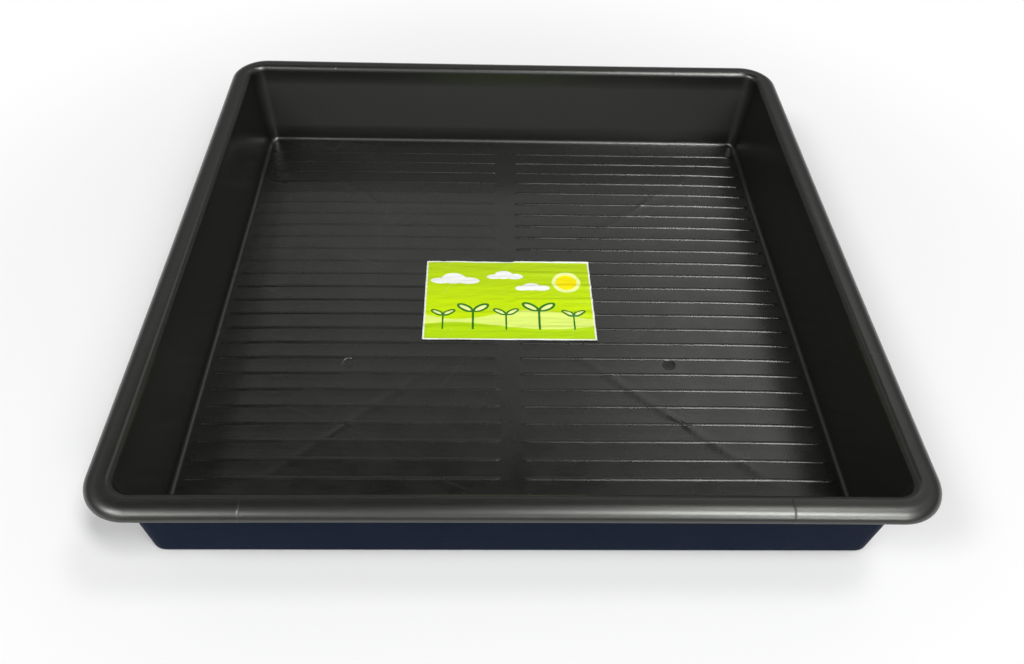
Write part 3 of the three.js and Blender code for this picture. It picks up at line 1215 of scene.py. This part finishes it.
    def build(self, group: NodeTree, plastic: Material, outside: Material) -> Item:
        """Build the moulding and let it stand for its node.

        Args:
            group: The floor relief group.
            plastic: The material inside and over the rim.
            outside: The material of the outer walls and the underside, whose navy colour is a painted blue
                reflection.

        Returns:
            The finished piece.
        """
        item = self._mesh()
        values = {"Material": plastic, "Outside Material": outside, **self.relief.values()}
        shape_with(item, self._floor_tree(group), values)
        settle(item)
        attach(item, "root")
        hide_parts(self.node)
        return item


@dataclass(frozen=True)
class Hill:
    """One rolling hill: the wave of its crest, its height above the label's foot and its colour."""

    wave_length: float
    phase: float
    swing: float
    height: float
    colour: Colour


@dataclass(frozen=True)
class PrintedFilm(Finish):
    """Printed self-adhesive film: a lime field with a plain garden scene under clouds and a sun.

    Places on the label are measured from its middle. A cloud has its place and its size, a puff its place
    in the cloud and its two radii, and a seedling its place across and its size.
    """

    name: str = "label_film"
    grain_scale: float = 1500.0
    streak_scale: float = 300.0
    streak_height: float = 0.02
    mottle_scale: float = 40.0
    scratch_scale: float = 260.0
    scratch_strength: float = 0.05
    specular_level: float = 0.25
    least_roughness: float = 0.30
    most_roughness: float = 0.46
    white: Colour = (0.82, 0.83, 0.80)
    lime: Colour = (0.53, 0.75, 0.0)
    deep_lime: Colour = (0.42, 0.60, 0.006)
    cream: Colour = (0.78, 0.88, 0.33)
    leaf_green: Colour = (0.02, 0.17, 0.01)
    yellow: Colour = (0.88, 0.74, 0.0)
    border: float = 2.0
    edge_softness: float = 0.4
    fade_share: float = 0.3
    sun_place: tuple[float, float] = (76.0, 32.0)
    sun_radius: float = 14.0
    sun_ring: float = 5.0
    clouds: tuple[tuple[float, float, float], ...] = (
        (-72.0, 36.0, 1.0),
        (-6.0, 44.0, 0.75),
        (30.0, 22.0, 0.7),
    )
    puffs: tuple[tuple[float, float, float, float], ...] = (
        (-17.0, -2.0, 13.0, 5.5),
        (0.0, 2.5, 16.0, 10.0),
        (19.0, -1.5, 15.0, 6.5),
    )
    hills: tuple[Hill, ...] = (
        Hill(185.0, 0.6, 8.0, 44.0, (0.70, 0.85, 0.17)),
        Hill(240.0, 3.4, 6.0, 24.0, (0.42, 0.66, 0.002)),
    )
    seedlings: tuple[tuple[float, float], ...] = (
        (-84.0, 0.8),
        (-46.0, 1.05),
        (-4.0, 0.85),
        (38.0, 1.1),
        (82.0, 0.8),
    )
    seedling_foot: float = -54.0
    stem_middle: float = 16.0
    stem_halves: tuple[float, float] = (1.3, 17.0)
    leaf_place: tuple[float, float] = (9.5, 36.0)
    leaf_radii: tuple[float, float] = (11.5, 5.6)
    heart_radii: tuple[float, float] = (8.0, 2.6)
    leaf_turn: float = 32.0

    def material(
        self, grain: NodeTree, wear: NodeTree, size: tuple[float, float], middle: tuple[float, float]
    ) -> Material:
        """Build the material.

        Args:
            grain: The shared grain group.
            wear: The shared wear group.
            size: The label's width and length.
            middle: Where the label's middle lies on the floor.

        Returns:
            The material.
        """
        material, sketch, shader = new_material(self.name)
        place = sketch.add("ShaderNodeTexCoord").outputs["Object"]
        skin = self._skin(sketch, place, grain, wear)
        on_label = sketch.add("ShaderNodeMapping", place, vector_type="TEXTURE")
        on_label.inputs["Location"].default_value = (middle[0] * MM, middle[1] * MM, 0.0)
        on_label.inputs["Scale"].default_value = (MM, MM, MM)
        base = self._art(sketch, on_label.outputs[0], *size)
        base = sketch.mix(sketch.times(skin["Scratches"], self.scratch_strength), base, self.white)
        sketch.feed(shader.inputs["Base Color"], base)
        gloss = sketch.blend(skin["Mottle"], self.least_roughness, self.most_roughness)
        sketch.feed(shader.inputs["Roughness"], gloss)
        self._bump(sketch, shader, sketch.times(skin["Streak"], self.streak_height))
        shader.inputs["Specular IOR Level"].default_value = self.specular_level
        return material

    def _art(self, sketch: Sketch, place: Socket, width: float, length: float) -> Socket:
        """Paint the label, from the field up to the border.

        Args:
            sketch: The sketch on the material's tree.
            place: The point on the label, in millimetres from its middle.
            width: The label's width.
            length: The label's length.

        Returns:
            The colour.
        """
        x, y, _ = sketch.split(place)
        up = sketch.plus(y, length / 2)
        fade = sketch.ramp(up, length, self.fade_share * length)
        colour = sketch.mix(fade, self.deep_lime, self.lime)
        for radius, tint in ((self.sun_radius + self.sun_ring, self.cream), (self.sun_radius, self.yellow)):
            disc = self._ellipse(sketch, (x, y), self.sun_place, (radius, radius))
            colour = sketch.mix(disc, colour, tint)
        for cloud_x, cloud_y, size in self.clouds:
            for over, rise, wide, tall in self.puffs:
                centre = (cloud_x + over * size, cloud_y + rise * size)
                puff = self._ellipse(sketch, (x, y), centre, (wide * size, tall * size))
                colour = sketch.mix(puff, colour, self.white)
        for hill in self.hills:
            wave = sketch.math("MULTIPLY_ADD", x, math.tau / hill.wave_length, hill.phase)
            crest = sketch.math("MULTIPLY_ADD", sketch.math("SINE", wave), hill.swing, hill.height)
            below = sketch.ramp(sketch.minus(crest, up), -self.edge_softness, self.edge_softness)
            colour = sketch.mix(below, colour, hill.colour)
        colour = self._seedlings(sketch, colour, (x, y))
        halves = (width / 2 - self.border, length / 2 - self.border)
        printed = self._bar(sketch, (x, y), (0.0, 0.0), halves)
        return sketch.mix(printed, self.white, colour)

    def _seedlings(self, sketch: Sketch, colour: Socket, spot: tuple[Socket, Socket]) -> Socket:
        """Paint the row of two-leaf seedlings along the hills."""
        foot = self.seedling_foot
        over, rise = self.leaf_place
        wide, tall = self.stem_halves
        for middle, size in self.seedlings:
            centre = (middle, foot + self.stem_middle * size)
            stem = self._bar(sketch, spot, centre, (wide * size, tall * size))
            colour = sketch.mix(stem, colour, self.leaf_green)
            for side in (-1, 1):
                centre = (middle + side * over * size, foot + rise * size)
                for radii, tint in ((self.leaf_radii, self.leaf_green), (self.heart_radii, self.cream)):
                    sized = (radii[0] * size, radii[1] * size)
                    leaf = self._ellipse(sketch, spot, centre, sized, side * self.leaf_turn)
                    colour = sketch.mix(leaf, colour, tint)
        return colour

    def _ellipse(
        self,
        sketch: Sketch,
        spot: tuple[Socket, Socket],
        centre: tuple[float, float],
        radii: tuple[float, float],
        turn: float = 0.0,
    ) -> Socket:
        """Give the mask of an ellipse.

        Args:
            sketch: The sketch on the material's tree.
            spot: Place across and along.
            centre: The ellipse's middle.
            radii: Its two radii.
            turn: How far it is turned, in degrees.

        Returns:
            The mask.
        """
        over, up = (sketch.minus(value, middle) for value, middle in zip(spot, centre))
        cos = math.cos(math.radians(turn))
        sin = math.sin(math.radians(turn))
        wide, tall = radii
        along = sketch.plus(sketch.times(over, cos / wide), sketch.times(up, sin / wide))
        across = sketch.minus(sketch.times(up, cos / tall), sketch.times(over, sin / tall))
        soft = self.edge_softness / min(radii)
        return sketch.ramp(sketch.distance(along, across), 1.0 + soft, 1.0 - soft)

    def _bar(
        self,
        sketch: Sketch,
        spot: tuple[Socket, Socket],
        centre: tuple[float, float],
        halves: tuple[float, float],
    ) -> Socket:
        """Give the mask of a plain bar."""
        beyond = [
            sketch.minus(sketch.magnitude(sketch.minus(value, middle)), half)
            for value, middle, half in zip(spot, centre, halves)
        ]
        return sketch.ramp(sketch.chain("MAXIMUM", beyond), self.edge_softness, -self.edge_softness)


@dataclass
class ProductLabel:
    """The printed label that lies over the ribs and shows them through. Scales are waves in a metre."""

    width: float
    length: float
    relief: FloorRelief
    thickness: float = 0.2
    clearance: float = 0.9
    show_through: float = 1.1
    soft_rib_width: float = 11.0
    soft_rib_taper: float = 7.0
    ripple_scale: float = 115.0
    ripple_stretch: float = 0.14
    crease_scale: float = 80.0
    crease_stretch: float = 0.16
    crease_turn: float = -14.0
    crease_level: float = 0.4
    crease_height: float = 2.2
    edge_trim: float = 0.9
    edge_wander: float = 0.8
    wander_scale: float = 24.0
    wander_seeds: tuple[float, float] = (3.0, 9.0)
    offset: tuple[float, float] = (1.4, 1.4)
    columns: int = 150
    rows: int = 130
    node: str = "product_label"
    slot: str = "label_film"

    @classmethod
    def from_frame(cls, relief: FloorRelief) -> "ProductLabel":
        """Take the label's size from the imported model.

        Args:
            relief: The relief of the floor below.

        Returns:
            The label.
        """
        low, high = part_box("product_label")
        width, length, _ = (high - low) / MM
        return cls(width, length, relief)

    @property
    def film_size(self) -> tuple[float, float]:
        """Width and length of the cut film, which wanders a little at its edges."""
        return self.width - 2 * self.edge_trim, self.length - self.edge_trim

    def _values(self) -> dict[str, float]:
        """Give the relief that shows through the film, in metres."""
        soft = {
            "Rib Width": self.soft_rib_width * MM,
            "Rib Height": self.show_through * MM,
            "Rib Taper": self.soft_rib_taper * MM,
            "Bank Gap": (self.relief.bank_gap - 2 * self.soft_rib_taper) * MM,
            "Sag": 0.0,
        }
        return {**self.relief.values(), **soft}

    def _tree(self, group: NodeTree) -> NodeTree:
        """Build the tree that lays the film over the ribs, with creases.

        Args:
            group: The floor relief group.

        Returns:
            The tree.
        """
        names = self._values()
        inputs = {"Geometry": "NodeSocketGeometry", "Material": "NodeSocketMaterial"}
        inputs.update({name: "NodeSocketFloat" for name in names})
        inputs["Crease Height"] = "NodeSocketFloat"
        inputs["Edge Wander"] = "NodeSocketFloat"
        outputs = {"Geometry": "NodeSocketGeometry"}
        sketch, given, result = new_tree("Laid Film", TreeKind.GEOMETRY, inputs, outputs)
        shape = sketch.group(group, {name: given[name] for name in names})
        place = sketch.add("GeometryNodeInputPosition").outputs[0]
        level = sketch.scaled(place, (self.ripple_stretch, 1.0, 1.0))
        ripples = sketch.noise(level, self.ripple_scale, 1.0)
        slanted = sketch.scaled(sketch.turned(place, self.crease_turn), (self.crease_stretch, 1.0, 1.0))
        folds = sketch.magnitude(sketch.minus(sketch.noise(slanted, self.crease_scale, 1.0), 0.5))
        creases = sketch.minus(sketch.plus(ripples, folds), self.crease_level)
        raised = sketch.times(creases, given["Crease Height"])
        height = sketch.plus(shape["Crown"], shape["Relief"], raised)
        slip = []
        for seed in self.wander_seeds:
            there = sketch.add("ShaderNodeVectorMath", place, (seed, seed, seed)).outputs[0]
            wander = sketch.minus(sketch.noise(there, self.wander_scale, 1.0), 0.5)
            slip.append(sketch.times(wander, given["Edge Wander"]))
        lift = sketch.vector(*slip, height)
        moved = sketch.named("GeometryNodeSetPosition", {"Geometry": given["Geometry"], "Offset": lift})
        dressed = finish_tree(sketch, moved.outputs[0], given["Material"])
        sketch.feed(result.inputs["Geometry"], dressed)
        return sketch.tree

    def build(self, group: NodeTree, film: Material, sheet: float) -> Item:
        """Build the label and let it stand for its node.

        Args:
            group: The floor relief group.
            film: The material.
            sheet: Thickness of the tray's floor.

        Returns:
            The finished piece.
        """
        width, length = self.film_size
        across = np.linspace(-width / 2, width / 2, self.columns + 1) + self.offset[0]
        along = np.linspace(-length / 2, length / 2, self.rows + 1) + self.offset[1]
        x, y = np.meshgrid(across, along)
        top = sheet + self.relief.rib_height - self.show_through + self.clearance + self.thickness
        points = np.stack([x, y, np.full(x.shape, top)], -1).reshape(-1, 3)
        number = np.arange(x.size).reshape(x.shape)
        item = new_object("product_label_film", points, grid_faces(number))
        values = {
            "Material": film,
            "Crease Height": self.crease_height * MM,
            "Edge Wander": self.edge_wander * MM,
            **self._values(),
        }
        shape_with(item, self._tree(group), values)
        body = item.modifiers.new("Film Thickness", "SOLIDIFY")
        body.thickness = self.thickness * MM
        body.offset = -1.0
        settle(item)
        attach(item, "root")
        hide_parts(self.node)
        return item


@dataclass(frozen=True)
class PhotoView:
    """The camera at the photograph's viewing angle. Its place is in metres."""

    place: tuple[float, float, float] = (-0.0383, -0.8448, 0.8165)
    yaw: float = math.radians(2.2051)
    pitch: float = math.radians(45.8317)
    roll: float = math.radians(-2.0472)
    focal_pixels: float = 908.07
    centre_pixel: float = 502.14
    image_width: float = 1024.0
    sensor: float = 36.0

    def build(self) -> Item:
        """Make the camera and hand it to the scene.

        Returns:
            The camera.
        """
        level = math.cos(self.pitch)
        ahead = Vector((math.sin(self.yaw) * level, math.cos(self.yaw) * level, -math.sin(self.pitch)))
        right = Vector((math.cos(self.yaw), -math.sin(self.yaw), 0.0))
        down = ahead.cross(right)
        cos = math.cos(self.roll)
        sin = math.sin(self.roll)
        tilted_right = cos * right + sin * down
        tilted_down = cos * down - sin * right
        data = bpy.data.cameras.new("photo_view")
        data.sensor_width = self.sensor
        data.lens = self.focal_pixels / self.image_width * self.sensor
        data.shift_x = (self.image_width / 2 - self.centre_pixel) / self.image_width
        camera = bpy.data.objects.new("photo_view", data)
        turn = Matrix((tilted_right, -tilted_down, -ahead)).transposed()
        camera.matrix_world = Matrix.Translation(self.place) @ turn.to_4x4()
        bpy.context.scene.collection.objects.link(camera)
        bpy.context.scene.camera = camera
        return camera


@dataclass(frozen=True)
class Softbox:
    """One area light, given by its place, size and brightness. Lengths are metres."""

    name: str
    place: tuple[float, float, float]
    size: tuple[float, float]
    brightness: float

    def build(self) -> Item:
        """Make the light and aim it at the tray.

        Returns:
            The light.
        """
        data = bpy.data.lights.new(self.name, "AREA")
        data.shape = "RECTANGLE"
        data.size, data.size_y = self.size
        data.energy = WATTS_PER_AREA * self.size[0] * self.size[1] * self.brightness
        light = bpy.data.objects.new(self.name, data)
        light.location = self.place
        light.rotation_euler = Vector(self.place).to_track_quat("Z", "Y").to_euler()
        bpy.context.scene.collection.objects.link(light)
        return light


@dataclass(frozen=True)
class Band:
    """One band of the surround: where it sets in, from 0 at the horizon to 1 overhead, and its level."""

    start: float
    full: float
    level: float


@dataclass(frozen=True)
class Studio:
    """A pale floor that is white further out, a surround of bands, and soft lights. Lengths are metres."""

    floor_half: float = 14.0
    floor_colour: Colour = (0.86, 0.86, 0.86)
    floor_roughness: float = 0.6
    white_from: float = 0.5
    white_to: float = 1.0
    horizon_level: float = 0.6
    low_band: Band = Band(0.06, 0.16, 0.15)
    backdrop: Band = Band(0.52, 0.60, 0.5)
    ceiling: Band = Band(0.71, 0.77, 0.02)
    zenith: Band = Band(0.92, 0.97, 0.06)
    lights: tuple[Softbox, ...] = (
        Softbox("key_right", (2.57, -3.06, 6.93), (1.05, 2.60), 27.0),
        Softbox("front_right", (3.24, -5.60, 4.70), (1.60, 2.00), 8.5),
        Softbox("front", (0.33, -6.30, 4.93), (2.60, 2.00), 0.8),
        Softbox("high_right", (2.75, 0.36, 7.50), (1.70, 1.70), 7.5),
        Softbox("fill_left", (-4.64, -2.68, 5.95), (1.90, 2.00), 11.5),
        Softbox("front_left", (-3.15, -4.33, 5.95), (1.00, 1.60), 11.0),
        Softbox("low_left", (-4.83, -5.76, 2.74), (4.00, 2.80), 0.5),
        Softbox("sheen_back_right", (2.56, 4.82, 5.85), (2.60, 1.60), 0.6),
    )

    def build(self) -> None:
        """Make the floor, the surround and the lights."""
        bpy.context.scene.view_settings.view_transform = "Standard"
        self._floor()
        self._surround()
        for light in self.lights:
            light.build()

    def _floor(self) -> None:
        """Make the floor that the tray stands on."""
        half = self.floor_half / MM
        corners = np.array([(-half, -half, 0.0), (half, -half, 0.0), (half, half, 0.0), (-half, half, 0.0)])
        floor = new_object("studio_floor", corners, [(0, 1, 2, 3)])
        material, sketch, shader = new_material("studio_floor")
        shader.inputs["Base Color"].default_value = rgba(self.floor_colour)
        shader.inputs["Roughness"].default_value = self.floor_roughness
        place = sketch.add("ShaderNodeTexCoord").outputs["Object"]
        away = sketch.add("ShaderNodeVectorMath", place, operation="LENGTH").outputs["Value"]
        path = sketch.add("ShaderNodeLightPath").outputs
        kinds = ("Is Camera Ray", "Is Glossy Ray", "Is Transmission Ray")
        seen = sketch.chain("MAXIMUM", [path[kind] for kind in kinds])
        share = sketch.times(seen, sketch.ramp(away, self.white_from, self.white_to))
        white = sketch.named("ShaderNodeEmission", {"Color": (1.0, 1.0, 1.0, 1.0), "Strength": 1.0})
        joined = sketch.add("ShaderNodeMixShader", share, shader.outputs[0], white.outputs[0])
        sketch.feed(material.node_tree.nodes["Material Output"].inputs["Surface"], joined.outputs[0])
        floor.data.materials.append(material)

    def _surround(self) -> None:
        """Make the world: pale at the horizon, dim above it, then a backdrop and a dark ceiling."""
        world = bpy.data.worlds.new("studio_surround")
        bpy.context.scene.world = world
        world.use_nodes = True
        sketch = Sketch(world.node_tree)
        rise = sketch.split(sketch.add("ShaderNodeTexCoord").outputs["Generated"])[2]
        strength = self.horizon_level
        for band in (self.low_band, self.backdrop, self.ceiling, self.zenith):
            strength = sketch.blend(sketch.ramp(rise, band.start, band.full), strength, band.level)
        background = world.node_tree.nodes["Background"]
        background.inputs["Color"].default_value = (1.0, 1.0, 1.0, 1.0)
        sketch.feed(background.inputs["Strength"], strength)


def report(item: Item) -> None:
    """Log a finished piece's triangle count."""
    triangles = sum(len(face.vertices) - 2 for face in item.data.polygons)
    LOG.info("%s: %d triangles", item.name, triangles)


def main() -> None:
    """Build the camera, the studio and the tray's two pieces."""
    logging.basicConfig(level=logging.INFO, format="%(name)s: %(message)s")
    PhotoView().build()
    Studio().build()
    grain = grain_group()
    wear = wear_group()
    shell = TrayShell.from_frame()
    shape = shell.relief.group()
    inside = BlackPlastic().material(grain, wear)
    # The outside material's navy colour is a painted blue reflection.
    outside = OUTSIDE_PLASTIC_PAINTED_REFLECTION.material(grain, wear)
    report(shell.build(shape, inside, outside))
    label = ProductLabel.from_frame(shell.relief)
    film = PrintedFilm().material(grain, wear, label.film_size, label.offset)
    report(label.build(shape, film, shell.sheet))


if __name__ == "__main__":
    main()
